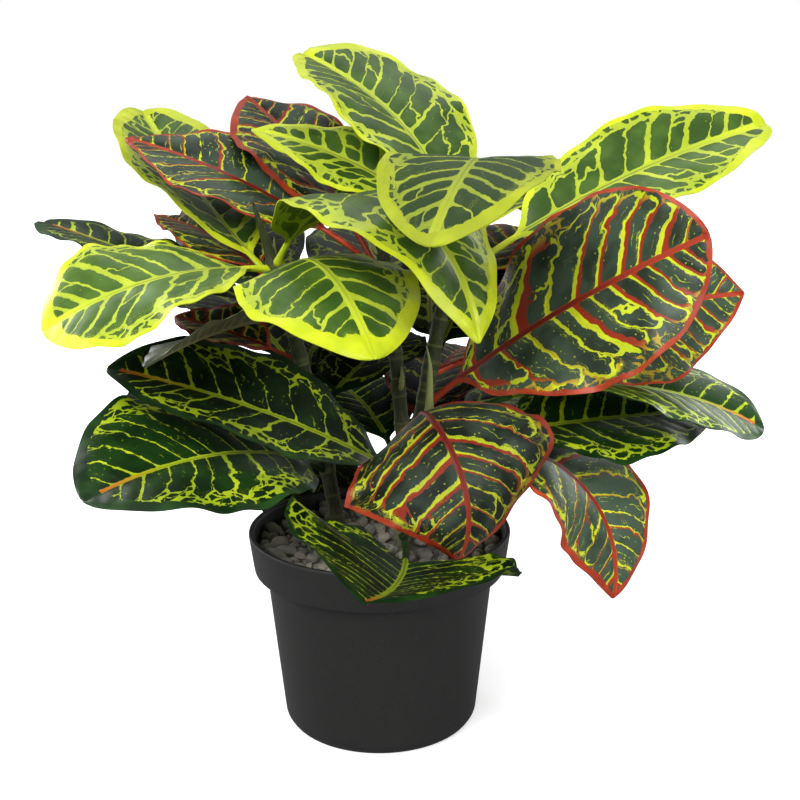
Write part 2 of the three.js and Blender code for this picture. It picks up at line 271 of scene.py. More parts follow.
def turn_outward(mesh):
    """Flips a closed mesh whose faces look inward, which its signed volume shows."""
    mesh.calc_loop_triangles()
    corners = rows_of(mesh.loop_triangles, "vertices", 3, np.int32)
    a, b, c = rows_of(mesh.vertices, "co", 3, float)[corners].transpose(1, 0, 2)
    if np.einsum("ij,ij->", a, np.cross(b, c)) < 0:
        mesh.flip_normals()
    mesh.update()


def new_piece(name, points, faces, slot, node, numbers=None, finishes=None, materials=()):
    """A mesh piece from points in millimetres, in a node's place, riding on the plant's one body."""
    piece = put_mesh(name, points, faces)
    mesh = piece.data
    for label, values in (numbers or {}).items():
        layer = mesh.attributes.new(label, "FLOAT", "POINT")
        layer.data.foreach_set("value", np.asarray(values, np.float32).ravel())
    for material in materials:
        mesh.materials.append(material)
    if finishes is not None:
        mesh.polygons.foreach_set("material_index", np.asarray(finishes, np.int32))
    mesh.shade_smooth()
    turn_outward(mesh)
    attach(piece, "root")
    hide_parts(node)
    return piece


def triangles(piece):
    return sum(len(p.vertices) - 2 for p in piece.data.polygons)


def unit(vector):
    return vector / np.linalg.norm(vector)


def circle(sides):
    """The cosines and sines of even steps round a circle."""
    angles = 2 * np.pi * np.arange(sides) / sides
    return np.cos(angles), np.sin(angles)


def tube(rings):
    """Points and faces of a closed tube through rings of points."""
    rows, sides = len(rings), len(rings[0])
    faces = []
    for low, high in ((row * sides, (row + 1) * sides) for row in range(rows - 1)):
        pairs = [(j, (j + 1) % sides) for j in range(sides)]
        faces += [(low + j, high + j, high + k, low + k) for j, k in pairs]
    ends = [tuple(range(sides)), tuple((rows - 1) * sides + j for j in reversed(range(sides)))]
    return np.vstack(rings), faces + ends


print("faces of a tube of 3 rings of 8 points:", len(tube(np.zeros((3, 8, 3)))[1]))

# %% [markdown]
# The floor is a wide pale sheet that runs on past the frame, and the air round it is plain white, as
# in a studio. A large soft key light above the camera's left shoulder and a weaker fill from the
# right give the broad grey sheen on the leaves and leave the inside of the bush dark. Four faint
# lights, two low ones behind and one each above and at the left, keep the far leaves readable. The
# white that the camera sees is brighter than the white that lights the plant, or the shade would be
# washed out.

# %% Floor, air and lights
FLOOR_HALF, FLOOR_DROP = 6000.0, 0.2
SKY_SEEN, SKY_LIGHT = 1.0, 0.3
FLOOR_SEEN, FLOOR_BOUNCE = 0.8, 0.3
LIGHT_TARGET = (0, 0, 0.15)
LIGHTS = [
    # Name, place in metres, width in metres, watts
    ("key light", (-0.9, -2.0, 1.9), 1.5, 76),
    ("fill light", (1.8, -1.7, 0.9), 1.3, 32),
    ("back light, left", (-1.8, 2.0, 0.9), 1.5, 38),
    ("back light, right", (1.8, 2.0, 0.9), 1.5, 20),
    ("top light", (0.2, 1.2, 2.6), 2.0, 16),
    ("side light", (-2.2, 0.4, 1.0), 1.3, 16),
]


def seen_by_camera(w):
    return w.node("ShaderNodeLightPath", {}, "Is Camera Ray")


def lay_floor():
    corners = FLOOR_HALF * np.array([(-1, -1), (1, -1), (1, 1), (-1, 1)])
    floor = put_mesh("floor", [(x, y, -FLOOR_DROP) for x, y in corners], [(0, 1, 2, 3)])
    material, w = new_material("studio floor")
    seen = seen_by_camera(w)
    away = w.node("ShaderNodeVectorMath", {"Vector": w.place(1.0)}, "Value", operation="LENGTH")
    dull, pale = ((tone, tone, tone, 1) for tone in (FLOOR_BOUNCE, FLOOR_SEEN))
    # The floor glows to the camera alone, fully far off and half as much at the pot: a painted shade round
    # the plant's foot, where its soft shadow also falls
    glow = seen * (w.step(away, 0.06, 0.8) * 0.5 + 0.5)
    w.surface({"Base Color": w.tint(seen, dull, pale), "Roughness": 0.9, "Specular IOR Level": 0.1,
               "Emission Color": (1, 1, 1, 1), "Emission Strength": glow})
    floor.data.materials.append(material)


def light_air():
    world = bpy.data.worlds.new("studio air")
    world.use_nodes = True
    w = Wiring(world.node_tree)
    glow = world.node_tree.nodes["Background"]
    glow.inputs["Color"].default_value = (1, 1, 1, 1)
    w.plug(glow.inputs["Strength"], w.mix(seen_by_camera(w), SKY_LIGHT, SKY_SEEN))
    bpy.context.scene.world = world
    bpy.context.scene.view_settings.view_transform = "Standard"


def hang_light(name, place, size, watts):
    """A square soft light that faces the plant."""
    lamp = bpy.data.lights.new(name, "AREA")
    lamp.shape, lamp.size, lamp.energy = "SQUARE", size, watts
    holder = put(name, lamp)
    holder.location = place
    holder.rotation_euler = (Vector(LIGHT_TARGET) - Vector(place)).to_track_quat("-Z", "Y").to_euler()


lay_floor()
light_air()
for light in LIGHTS:
    hang_light(*light)
print("lights:", len(LIGHTS))

# %% [markdown]
# Two small effects are shared by several materials. "Fine grain" is the slight unevenness that
# moulded plastic and leaf skin both have, each at its own scale. "Dust and water marks" is the thin
# pale film that settles where a thing has stood for a while. Each is a node group that puts out
# only numbers, so that every material can place it with values of its own.

# %% Shared effects


def make_grain_group():
    inputs = {"Size": 1.0, "Depth": 0.02, "Contrast": 1.0}
    w, given, out = new_group("Fine grain", inputs, ["Height", "Tone"])
    scale = 1.0 / given["Size"]
    fine = w.noise(w.place(), scale, 4.0, 0.6)
    broad = w.noise(w.place(), scale * 0.06, 2.0)
    w.plug(out["Height"], fine * given["Depth"])
    w.plug(out["Tone"], (w.mix(0.5, fine, broad) - 0.5) * given["Contrast"])
    return w.tree


def make_dust_group():
    w, given, out = new_group("Dust and water marks", {"Amount": 0.3, "Size": 20.0}, ["Mask"])
    normal = w.node("ShaderNodeNewGeometry", {}, "Normal")
    up = w.node("ShaderNodeSeparateXYZ", {"Vector": normal}, "Z")
    cloud = w.step(w.noise(w.place(), 1.0 / given["Size"], 5.0, 0.65), 0.42, 0.75)
    spots = w.step(w.noise(w.place(), 0.9, 2.0), 0.6, 0.72)
    w.plug(out["Mask"], (cloud * w.step(up, -0.3, 0.9) + spots * 0.35) * given["Amount"])
    return w.tree


grain_group = make_grain_group()
dust_group = make_dust_group()
print("shared effects:", grain_group.name, "and", dust_group.name)

# %% [markdown]
# The pot is injection-moulded black plastic: a thin tapering cup with a deep band under a rolled lip,
# a rounded foot and six drain holes. A lathed profile with small arcs at its corners gives the whole
# wall in one go, and the holes are cut with a boolean, as a drill would. The underside is set back
# inside a narrow standing ring, with the small mark of the mould's gate in its middle.

# %% Pot
POT_HEIGHT, RIM_RADIUS, BAND_RADIUS, BAND_HEIGHT = 91.5, 60.0, 58.0, 19.0
BODY_TOP_RADIUS, BASE_RADIUS, WALL, FLOOR_THICKNESS = 52.2, 45.0, 1.8, 2.4
DRAIN_COUNT, DRAIN_RADIUS, DRAIN_RING = 6, 4.0, 29.0
POT_SIDES, DRAIN_SIDES, SHARP_ANGLE = 192, 28, 35
BAND_FOOT = POT_HEIGHT - BAND_HEIGHT
POT_PROFILE = [
    # Radius, height and rounding of each corner, from the underside's middle round to the inner floor
    (0, 0.4, 0), (1.5, 0.4, 0.1), (1.8, 0.9, 0.1), (39.5, 0.9, 0.25), (40.0, 0.0, 0.3),
    (BASE_RADIUS - 2.2, 0.0, 1.2), (BASE_RADIUS, 3.2, 1.4), (BODY_TOP_RADIUS, BAND_FOOT, 0.9),
    (BAND_RADIUS - 0.4, BAND_FOOT + 1.0, 0.9), (BAND_RADIUS, BAND_FOOT + 3.2, 1.0),
    (RIM_RADIUS, POT_HEIGHT - 1.0, 0.4), (RIM_RADIUS - 0.3, POT_HEIGHT, 0.25),
    (RIM_RADIUS - WALL - 0.3, POT_HEIGHT, 0.4), (RIM_RADIUS - WALL - 0.8, POT_HEIGHT - 1.2, 0.5),
    (BAND_RADIUS - WALL - 0.7, BAND_FOOT + 3.6, 1.2), (BODY_TOP_RADIUS - WALL, BAND_FOOT + 1.2, 0.9),
    (BASE_RADIUS - WALL, FLOOR_THICKNESS + 3.2, 1.4), (BASE_RADIUS - WALL - 3, FLOOR_THICKNESS, 1.4),
    (0, FLOOR_THICKNESS, 0),
]


def rounded(profile, steps=6):
    """The points of a profile, each corner as a small arc, or left as it is where its rounding is 0."""
    corners = np.array([row[:2] for row in profile], float)
    points = []
    for k, (corner, (_, _, rounding)) in enumerate(zip(corners, profile)):
        if rounding == 0:
            points.append(corner)
            continue
        into, out = corners[k - 1] - corner, corners[k + 1] - corner
        start, end = (corner + unit(way) * rounding for way in (into, out))
        points += [(1 - u) ** 2 * start + 2 * u * (1 - u) * corner + u * u * end
                   for u in np.linspace(0, 1, steps + 1)]
    return np.array(points)


def turned(profile, sides):
    """Points and faces of a profile turned about the upright axis; its ends lie on the axis."""
    inner = profile[1:-1]
    ring = np.stack([*(np.outer(share, inner[:, 0]) for share in circle(sides)),
                     np.tile(inner[:, 1], (sides, 1))], axis=2).reshape(-1, 3)
    points = np.vstack([ring, [[0, 0, profile[0][1]], [0, 0, profile[-1][1]]]])
    count, first, last = len(inner), len(ring), len(ring) + 1
    faces = []
    for i in range(sides):
        a, b = i * count, ((i + 1) % sides) * count
        faces += [(first, b, a), (last, a + count - 1, b + count - 1)]
        faces += [(a + k, b + k, b + k + 1, a + k + 1) for k in range(count - 1)]
    return points, faces


def drill(piece, middles, radius, low, high):
    """Cuts upright round holes with middles at (x, y), all in millimetres."""
    cos, sin = (radius * share for share in circle(DRAIN_SIDES))
    points, faces = [], []
    for x, y in middles:
        pin, skin = tube([np.stack([x + cos, y + sin, 0 * cos + z], axis=1) for z in (high, low)])
        faces += [tuple(len(points) + v for v in face) for face in skin]
        points += pin.tolist()
    cutter = put_mesh("drill", points, faces)
    cut = piece.modifiers.new("drain holes", "BOOLEAN")
    cut.operation, cut.object, cut.solver = "DIFFERENCE", cutter, "EXACT"
    shaped = bpy.data.meshes.new_from_object(piece.evaluated_get(bpy.context.evaluated_depsgraph_get()))
    piece.modifiers.clear()
    whole, piece.data = piece.data, shaped
    bpy.data.meshes.remove(whole)
    bpy.data.objects.remove(cutter)


def pot_plastic():
    """Matte black plastic with a fine moulded grain and a little dust."""
    material, w = new_material("pot plastic")
    grain = w.group(grain_group, Size=0.35, Depth=0.035, Contrast=1.0)
    dust = w.group(dust_group, Amount=0.14, Size=14.0)
    black = w.tint(grain["Tone"] + 0.5, linear(23, 23, 23), linear(35, 35, 34))
    w.finish(w.tint(dust, black, linear(120, 116, 108)), dust * 0.5 + 0.52, 0.4, grain["Height"])
    return material


pot = new_piece("pot_shell", *turned(rounded(POT_PROFILE), POT_SIDES), "pot", "pot")
drill(pot, DRAIN_RING * np.stack(circle(DRAIN_COUNT), axis=1), DRAIN_RADIUS, -2, 6)
pot.data.materials.append(pot_plastic())
pot.data.shade_smooth()
pot.data.set_sharp_from_angle(angle=math.radians(SHARP_ANGLE))
print("pot triangles:", triangles(pot))

# %% [markdown]
# Potting soil fills the pot and shows only through the drain holes and between the stones, so its
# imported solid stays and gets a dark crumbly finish.

# %% Soil


def crumbly_soil():
    """Dark peat with paler crumbs and bits of bark."""
    material, w = new_material("potting soil")
    crumbs = w.noise(w.place(), 0.6, 6.0, 0.7)
    bark = w.step(w.noise(w.place(), 0.25, 3.0), 0.6, 0.68)
    peat = w.tint(w.step(crumbs, 0.35, 0.7), linear(20, 15, 11), linear(66, 50, 36))
    w.finish(w.tint(bark, peat, linear(92, 66, 42)), 0.95, 0.2, crumbs, 1.2)
    return material


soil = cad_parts["soil"]
soil.material_slots[0].material = crumbly_soil()

# %% [markdown]
# The gravel on the soil is a layer of loose brown-grey stones, 4 to 10 mm across. Each stone is a
# ball cut by a few planes, flattened and turned, which gives the worn corners of crushed rock. They
# are dropped at seeded places that keep clear of each other and of the stems, the large ones first,
# and a rough bed of grit closes what is left between them.

# %% Gravel
GRAVEL_FOOT, GRIT_TOP, GRAVEL_TOP, GRAVEL_RADIUS = 77.0, 82.6, 84.0, 55.6
GRIT_RINGS, GRIT_SIDES, BALL_LEVEL = 26, 96, 3
STONE_SIZES = [(4.3, 800, 1.2), (3.2, 1600, 0.7), (2.3, 3200, 0.3)]  # Radius, tries, height above the bed
STONE_CUTS, STEM_ROOM, STONE_ROOM = 8, 3.4, 0.86  # Room between stones as a share of their radii
STONE_SINK, STONE_SCATTER, WALL_BANK = 2.3, 2.2, 1.6
STEM_FOOT = 24.0
STEMS = {
    "left": {"foot": (-12, 17), "top": (-55, 16), "bow": (5, 7), "height": 238},
    "right": {"foot": (5, -4), "top": (41, 9), "bow": (-6, -4.5), "height": 240},
    "back": {"foot": (16, 30), "top": (0, 44), "bow": (3.5, 0), "height": 230},
}


def on_stem(stem, height):
    """The middle of a stem at a height, in millimetres."""
    form = STEMS[stem]
    u = (height - STEM_FOOT) / (form["height"] - STEM_FOOT)
    foot, top, bow = (np.array(form[key], float) for key in ("foot", "top", "bow"))
    return np.append(foot + (top - foot) * u + bow * (4 * u * (1 - u)), height)


def stem_way(stem, height):
    """The way a stem runs at a height, as a vector of length 1."""
    return unit(on_stem(stem, height + 1) - on_stem(stem, height - 1))


def unit_ball(level):
    """Points and faces of a ball of radius 1."""
    shape = bmesh.new()
    bmesh.ops.create_icosphere(shape, subdivisions=level, radius=1.0)
    points = np.array([v.co for v in shape.verts])
    faces = np.array([[v.index for v in f.verts] for f in shape.faces])
    shape.free()
    return points, faces


def stone(draw, ball, radius):
    """A ball cut by planes, flattened and turned any way: one stone's points round its own middle."""
    points = ball.copy()
    for normal in draw.normal(size=(STONE_CUTS, 3)):
        normal = unit(normal)
        over = points @ normal - draw.uniform(0.62, 0.9)
        points = points - np.where(over > 0, over * 0.85, 0)[:, None] * normal
    points = points * draw.uniform([0.85, 0.75, 0.55], [1.2, 1.0, 0.85])
    turn = np.array(Quaternion(draw.normal(size=4).tolist()).normalized().to_matrix())
    return (points @ turn.T) * [1, 1, 0.8] * radius


def lay_gravel():
    """Three sizes of stone, each laid where there is room between those before it."""
    draw = np.random.default_rng(7)
    ball, faces = unit_ball(BALL_LEVEL)
    trunks = [on_stem(name, GRAVEL_TOP)[:2] for name in STEMS]
    laid, points, corners, tones = [], [], [], []
    for radius, tries, height in STONE_SIZES:
        for _ in range(tries):
            size = radius * draw.uniform(0.85, 1.15)
            away = (GRAVEL_RADIUS + 0.8 - 0.75 * size) * math.sqrt(draw.uniform())
            turn = draw.uniform(0, 2 * math.pi)
            x, y = away * math.cos(turn), away * math.sin(turn)
            if any(math.hypot(x - a, y - b) < STONE_ROOM * (size + c) for a, b, c in laid):
                continue
            if any(math.hypot(x - a, y - b) < size + STEM_ROOM for a, b in trunks):
                continue
            laid.append((x, y, size))
            banked = WALL_BANK * (away / GRAVEL_RADIUS) ** 3
            level = GRAVEL_TOP - STONE_SINK + height + banked + draw.uniform(0, STONE_SCATTER)
            corners.append(faces + len(ball) * len(points))
            points.append(stone(draw, ball, size) + [x, y, level])
            tones.append(np.full(len(ball), draw.uniform()))
    return np.vstack(points), np.vstack(corners).tolist(), np.concatenate(tones), len(laid)


def gravel_bed():
    """The rough grit that shows between the stones: rings from the wall to the middle."""
    draw = np.random.default_rng(8)
    profile = [(0, GRAVEL_FOOT), (GRAVEL_RADIUS - 0.8, GRAVEL_FOOT)]
    profile += [(GRAVEL_RADIUS * k / GRIT_RINGS, GRIT_TOP) for k in range(GRIT_RINGS, -1, -1)]
    points, faces = turned(np.array(profile), GRIT_SIDES)
    top = points[:, 2] > GRAVEL_FOOT + 3
    points[top, 2] += draw.uniform(-0.7, 0.9, top.sum())
    return points, faces


def stone_finish():
    """Brown-grey rock: each stone has its own tone, with fine specks and a little dust, most on its top."""
    material, w = new_material("gravel stone")
    (tone,) = w.attributes("tone")
    specks = w.noise(w.place(), 1.6, 5.0, 0.75)
    veins = w.noise(w.place(), 0.35, 3.0)
    grey = w.step(tone * 0.7 + specks * 0.5, 0.15, 1.0)
    rock = w.tint(grey, linear(110, 107, 97), linear(162, 159, 148))
    rock = w.tint(w.step(tone + veins, 0.9, 1.4) * 0.6, rock, linear(136, 124, 106))
    dust = w.group(dust_group, Amount=0.3, Size=9.0)
    w.finish(w.tint(dust, rock, linear(150, 142, 130)), 0.8, 0.3, specks, 0.35)
    return material


gravel_colour = stone_finish()
stone_points, stone_faces, stone_tones, stone_count = lay_gravel()
gravel = new_piece("gravel_stones", stone_points, stone_faces, "gravel", "gravel",
                   {"tone": stone_tones}, materials=[gravel_colour])
bed_points, bed_faces = gravel_bed()
grit = new_piece("gravel_grit", bed_points, bed_faces, "gravel", "gravel",
                 {"tone": np.full(len(bed_points), 0.45)}, materials=[gravel_colour])
print("stones:", stone_count, "triangles:", triangles(gravel), "+", triangles(grit))

# %% [markdown]
# Each leaf is one row of sizes, the same that the imported model uses: the stem and the height that it
# grows from, the way it points, how it droops and turns on its way, and the length, width, roll,
# twist, fold and arch of its blade. The last three columns are its habits. The first lightens or
# darkens the whole leaf. Partly this is its age, below 0 for a dull old leaf and above 0 for a young
# vivid one. Partly it is painted light and shade, lower for a leaf deep in the shaded middle of the
# bush and higher for one that catches a sheen. The other two say how bold its veins are and how broad
# its margin. A table keeps all the leaves in sight, where forty objects set one by one would not.

# %% Leaf sizes
LEAF_COLUMNS = ("name kind stem height azimuth rise droop sweep stalk blade width "
                "roll twist fold arch tip fresh bold broad").split()
LEAF_WORDS = ("name", "kind", "stem", "tip")
LEAF_TABLE = """
top_yellow yellow right 228 112 50 28 42 7 125 73 -2 19 20 17 cut 0 1 1.3
top_red_back red back 202 135 54 30 -6 26 109 71 -3 16 14 17 point -0.2 0.7 0.9
upper_left_yellow yellow left 203 129 27 -3 -10 17 142 67 0 -2 21 8 cut 0 1 1.6
left_shade dark left 191 113 28 14 -6 15 123 68 22 -22 -6 25 blunt -0.5 0.8 1
upper_left_red red back 206 170 38 26 -12 27 115 66 22 -3 14 12 point 0.25 0.6 0.7
mid_top_yellow yellow right 223 138 37 26 34 21 92 45 32 -7 17 22 point 0 1 0.8
centre_arch yellow left 211 -43 58 136 -8 7 150 81 -5 9 12 27 point 0 1.1 1.1
centre_front yellow right 231 -78 55 112 -48 11 113 68 5 -7 5 7 blunt -0.7 1.1 1.2
top_right yellow right 207 23 31 16 -14 29 137 59 -37 0 20 16 cut 0.2 1 1.1
big_red red right 152 -21 41 15 -8 12 129 83 -45 -31 6 9 blunt 0.35 1.3 0.6
right_back_green red right 165 16 18 17 4 37 125 79 -50 -26 18 11 point 0.8 0.7 0.7
right_droop dark right 138 6 28 59 -4 36 128 63 10 -39 13 16 blunt 1.6 0.8 0.6
lower_right_dark dark right 132 6 7 8 10 35 106 76 -21 -4 18 17 point 0.6 0.9 0.8
lower_right_red red right 124 5 29 129 -36 24 111 73 -2 -34 8 10 point 0.7 0.75 1
front_red red right 142 -92 41 163 60 10 92 96 -23 9 -6 14 point -0.3 0.7 0.9
front_green shade right 89 -88 4 -16 -17 37 116 96 14 -3 29 9 blunt -0.1 0.55 0.6
lower_left_1 dark right 116 196 34 23 -21 7 133 64 34 -17 15 1 blunt -0.35 0.7 0.8
lower_left_2 dark left 114 -126 30 47 -16 7 125 93 27 -14 15 15 blunt 0.3 0.9 1
left_back_dark dark left 186 164 23 9 -4 17 112 62 -1 2 11 13 cut 0 1 1
left_red_small red left 199 123 24 17 20 17 87 45 13 -15 13 10 point 0 0.6 0.8
left_thin olive left 187 -123 5 19 1 9 82 57 -26 3 13 11 point 0 1 1
front_left_hang yellow left 197 -76 46 104 19 7 115 75 -17 21 -3 15 blunt 0.25 1.1 1.7
left_yellow yellow left 209 -143 10 44 -30 7 98 79 3 30 11 15 blunt 0.5 1 1.8
left_mid_red red left 167 169 22 14 -17 9 54 40 11 7 17 9 point -0.5 0.6 0.8
centre_back dark back 188 170 10 14 0 18 50 42 20 0 12 12 point -1 0.6 1
olive_back olive right 170 90 58 10 0 12 50 38 30 0 12 12 point -0.4 1 1
back_right_high yellow right 214 56 36 64 0 20 112 60 10 0 14 14 blunt 0 1 1
back_high yellow back 220 52 36 66 0 18 112 68 0 0 14 14 point 0 1 1
back_mid_right red back 176 44 34 40 0 20 124 76 0 0 14 14 blunt -0.3 0.8 1
back_mid dark back 164 98 40 36 0 20 124 72 0 0 14 14 point -0.4 0.9 1
back_mid_left dark left 152 122 34 40 0 16 112 70 0 0 14 14 blunt -0.7 0.8 1
back_low_right dark back 130 20 16 40 0 24 108 60 0 0 14 14 point 0 1 1
back_low red back 116 72 34 44 0 20 114 68 0 0 14 14 blunt -1 0.7 1
back_low_left dark left 128 156 8 42 0 18 110 66 0 0 14 14 blunt -0.5 0.9 1
back_low_far shade back 106 112 34 52 0 20 112 68 0 0 14 14 point -0.2 0.9 1
centre_dark shade left 138 62 26 26 0 14 88 56 0 0 14 14 point -1.4 0.6 1
inner_right shade right 160 73 35 27 -15 23 101 76 -7 19 -6 17 blunt -1.6 0.5 1
inner_low_left shade left 113 84 3 75 65 26 86 70 -22 -6 12 19 point -1.5 0.5 1
inner_back_long shade left 122 107 44 63 -32 38 88 58 -20 4 9 7 blunt -1.6 0.5 1
inner_left shade left 134 155 35 69 -7 27 91 57 25 6 16 10 blunt -1.6 0.5 1
inner_back_low shade back 122 43 12 29 6 18 106 45 -13 -2 6 14 blunt -1.4 0.5 1
"""


def read_leaf(index, row):
    cells = zip(LEAF_COLUMNS, row.split())
    return {"index": index, **{key: cell if key in LEAF_WORDS else float(cell) for key, cell in cells}}


leaves = [read_leaf(index, row) for index, row in enumerate(LEAF_TABLE.strip().splitlines())]
print("leaves:", len(leaves))

# %% [markdown]
# A croton's stem is a soft woody rod, olive where it is young and browner below. Every leaf stalk
# leaves it at a slightly swollen joint, and a fallen leaf leaves a ring-shaped scar there. A tube
# swept along the stem's bowed line has all this in its radius: it swells at each leaf's height and
# at the scars between, and narrows to the growing tip. The pointed young shoots in the leaf axils
# are short tubes of the same bark.

# %% Stems
STEM_RADIUS, STEM_SIDES, STEM_ROWS = 3.6, 28, 260
FIRST_SCAR, SCAR_PITCH, SCAR_SWELLING, JOINT_SWELLING = 88, 11.0, 0.2, 0.42
SHOOT_SIDES, SHOOT_ROWS, SHOOT_MARK = 14, 40, 1.6
SHOOTS = [
    # Stem, height, azimuth, length, radius
    ("right", 134, -55, 46, 2.3), ("right", 228, 60, 15, 1.4), ("left", 206, 100, 17, 1.5),
    ("back", 212, 200, 18, 1.6), ("back", 148, -70, 12, 1.4), ("left", 130, 40, 12, 1.4),
]


def hump(away, breadth):
    """1 at a place, falling to nothing beyond a breadth in millimetres."""
    return np.exp(-(away / breadth) ** 2)


def stem_tube(stem, draw):
    """Points and faces of a stem, with how far up it each point is and its scar marks."""
    top = STEMS[stem]["height"] + 1.0
    heights = np.linspace(STEM_FOOT, top, STEM_ROWS)
    joints = sorted(leaf["height"] for leaf in leaves if leaf["stem"] == stem)
    scars = [h + draw.uniform(-2, 2) for h in np.arange(FIRST_SCAR, joints[-1], SCAR_PITCH)]
    radius = np.interp(heights, [STEM_FOOT, joints[-1], joints[-1] + 3, top], [STEM_RADIUS, 3.2, 2.6, 0.5])
    mark = np.zeros_like(heights)
    for joint in joints:
        radius += JOINT_SWELLING * hump(heights - joint, 2.6)
        mark = np.maximum(mark, 0.4 * hump(heights - joint + 1.5, 0.9))
    for scar in scars:
        radius += SCAR_SWELLING * hump(heights - scar, 1.1)
        mark = np.maximum(mark, 0.6 * hump(heights - scar, 0.45))
    angles = 2 * np.pi * np.arange(STEM_SIDES) / STEM_SIDES
    rings = []
    for height, thick in zip(heights, radius):
        along = stem_way(stem, height)
        first = unit(np.cross(along, [0, 1, 0]))
        lumps = 0.03 * np.sin(3 * angles + height * 0.11) + 0.02 * np.sin(5 * angles - height * 0.3)
        lumps = thick * (1 + lumps)
        rings.append(on_stem(stem, height) + np.outer(np.cos(angles) * lumps, first)
                     + np.outer(np.sin(angles) * lumps, np.cross(along, first)))
    return *tube(rings), np.repeat(heights, STEM_SIDES), np.repeat(mark, STEM_SIDES)


def young_shoot(stem, height, azimuth, length, radius):
    """A pointed shoot in a leaf's axil: a tube that leaves the stem, turns upright and hooks back."""
    u = np.linspace(0, 1, SHOOT_ROWS)
    turn = math.radians(azimuth)
    out = np.array([math.cos(turn), math.sin(turn), 0])
    side = np.array([-out[1], out[0], 0])
    lean = np.radians(np.interp(u, [0, 0.22, 0.75, 1], [30, 84, 90, 118]))
    ways = np.outer(np.cos(lean), out) + np.outer(np.sin(lean), [0, 0, 1])
    path = on_stem(stem, height) + out * (STEM_RADIUS - 1.2) + np.cumsum(ways * length / SHOOT_ROWS, axis=0)
    thick = radius * np.interp(u, [0, 0.3, 0.34, 0.4, 0.75, 1], [1, 0.92, 1.12, 0.85, 0.5, 0.06])
    cos, sin = circle(SHOOT_SIDES)
    rings = [place + size * (np.outer(cos, side) + 0.8 * np.outer(sin, np.cross(side, way)))
             for place, size, way in zip(path, thick, ways)]
    return *tube(rings), np.repeat(path[:, 2] + 60, SHOOT_SIDES)


def stem_bark():
    """Olive-green bark with fine length-wise cracks, browner low down, with pale scar rings."""
    material, w = new_material("stem bark")
    height, mark = w.attributes("height mark")
    place = w.node("ShaderNodeMapping", {"Vector": w.place(), "Scale": (1.0, 1.0, 0.12)})
    cracks = w.noise(place, 1.4, 4.0, 0.65)
    blotches = w.noise(w.place(), 0.12, 3.0)
    green = w.tint(w.step(cracks, 0.3, 0.7), linear(30, 37, 14), linear(58, 66, 28))
    brown = w.tint(w.step(cracks, 0.3, 0.7), linear(66, 68, 46), linear(106, 106, 80))
    bark = w.tint(w.step(height + (blotches - 0.5) * 90, 150, 70), green, brown)
    w.finish(w.tint(mark * 0.6, bark, linear(140, 148, 88)), cracks * 0.3 + 0.5, 0.35,
             cracks * 0.14 + mark * 0.25, 0.6)
    return material


bark = stem_bark()
stem_draw = np.random.default_rng(21)
for stem in STEMS:
    points, faces, heights, marks = stem_tube(stem, stem_draw)
    piece = new_piece(f"stem_{stem}_bark", points, faces, "stem", f"stem_{stem}",
                      {"height": heights, "mark": marks}, materials=[bark])
    print(piece.name, "triangles:", triangles(piece))
for number, (stem, *sizes) in enumerate(SHOOTS):
    points, faces, heights = young_shoot(stem, *sizes)
    new_piece(f"shoot_{stem}_{number}", points, faces, "stem", f"stem_{stem}",
              {"height": heights, "mark": 0 * heights + SHOOT_MARK}, materials=[bark])
print("young shoots:", len(SHOOTS))

# %% [markdown]
# A croton leaf is a thick leathery blade on a round stalk that runs on as its midrib. Side veins
# leave the midrib, some 13 mm apart near the stalk of a large leaf and 8 mm near its tip. They lean
# towards the tip and bend further forward near the margin, and the skin is slightly quilted between
# them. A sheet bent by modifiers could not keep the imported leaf's exact form, so each leaf is worked
# out row by row from the same sizes: how it leaves the stem, how it droops and turns, its fold, its
# arch and its waves. Each vertex also keeps its place on the flat leaf, in millimetres, for the
# colours to follow.

# %% The flat leaf
LEAF_TIPS = {
    # Share of the length where the blade is widest, width left at its end, fullness, roundness
    "blunt": (0.58, 0.05, 2.4, 0.72),
    "point": (0.5, 0.02, 1.7, 0.95),
    "cut": (0.55, 0.22, 2.2, 0.8),
}
BLADE_STARTS = 0.14
VEIN_LEAN, VEIN_LEAN_TIP, VEIN_BEND = 0.3, 0.34, 0.2


def smooth(value, low, high):
    t = np.clip((np.asarray(value, float) - low) / (high - low), 0, 1)
    return t * t * (3 - 2 * t)


def half_width(leaf, t):
    """Half the blade's width in millimetres at a share of its length."""
    widest, end, fullness, roundness = LEAF_TIPS[leaf["tip"]]
    grow = (1 - np.clip((widest - t) / widest, 0, 1) ** 1.9) ** 0.85
    past = np.clip((t - widest) / (1 - widest), 0, 1)
    fall = end + (1 - end) * (1 - past ** fullness) ** roundness
    uneven = 1 + 0.012 * np.sin(9 * t + leaf["index"]) + 0.008 * np.sin(23 * t + 2 * leaf["index"])
    return 0.5 * leaf["width"] * np.where(t < widest, grow, fall) * uneven * smooth(t, -0.02, BLADE_STARTS)


def rib_radius(leaf, t):
    """The stalk's radius, swollen at its foot, thinning along the midrib to the tip."""
    along = t * leaf["blade"] + leaf["stalk"]
    foot = 0.75 * np.exp(-np.clip(along, 0, None) / 2.2)
    slim = min(1.0, leaf["blade"] / 90)
    return slim * (np.interp(t, [-1, 0, 0.2, 0.6, 1.0], [1.5, 1.45, 0.95, 0.6, 0.25]) + foot)


def side_veins(leaf, draw):
    """Where the side veins leave the midrib, in millimetres from the blade's foot."""
    places, place = [], -6.0 * leaf["pitch"]
    while place < leaf["blade"] * 1.15:
        places.append(place)
        place += leaf["pitch"] * draw.uniform(0.7, 1.3) * (1 - 0.42 * max(place, 0) / leaf["blade"])
    return np.array(places)


print("widest blade in mm:", max(leaf["width"] for leaf in leaves))

# %% The leaf in space
WAVE, WAVES_PER_BLADE, RIPPLE, RIPPLES_PER_BLADE = 0.03, 2.3, 0.012, 6.3
MARGIN_LAG, LEAF_LAG, PATH_STEPS, GAP = 1.3, 2.4, 120, 0.3
SIDE_COLUMNS, ROW_PITCH, BLADE_THICKNESS = 24, 1.6, 0.56


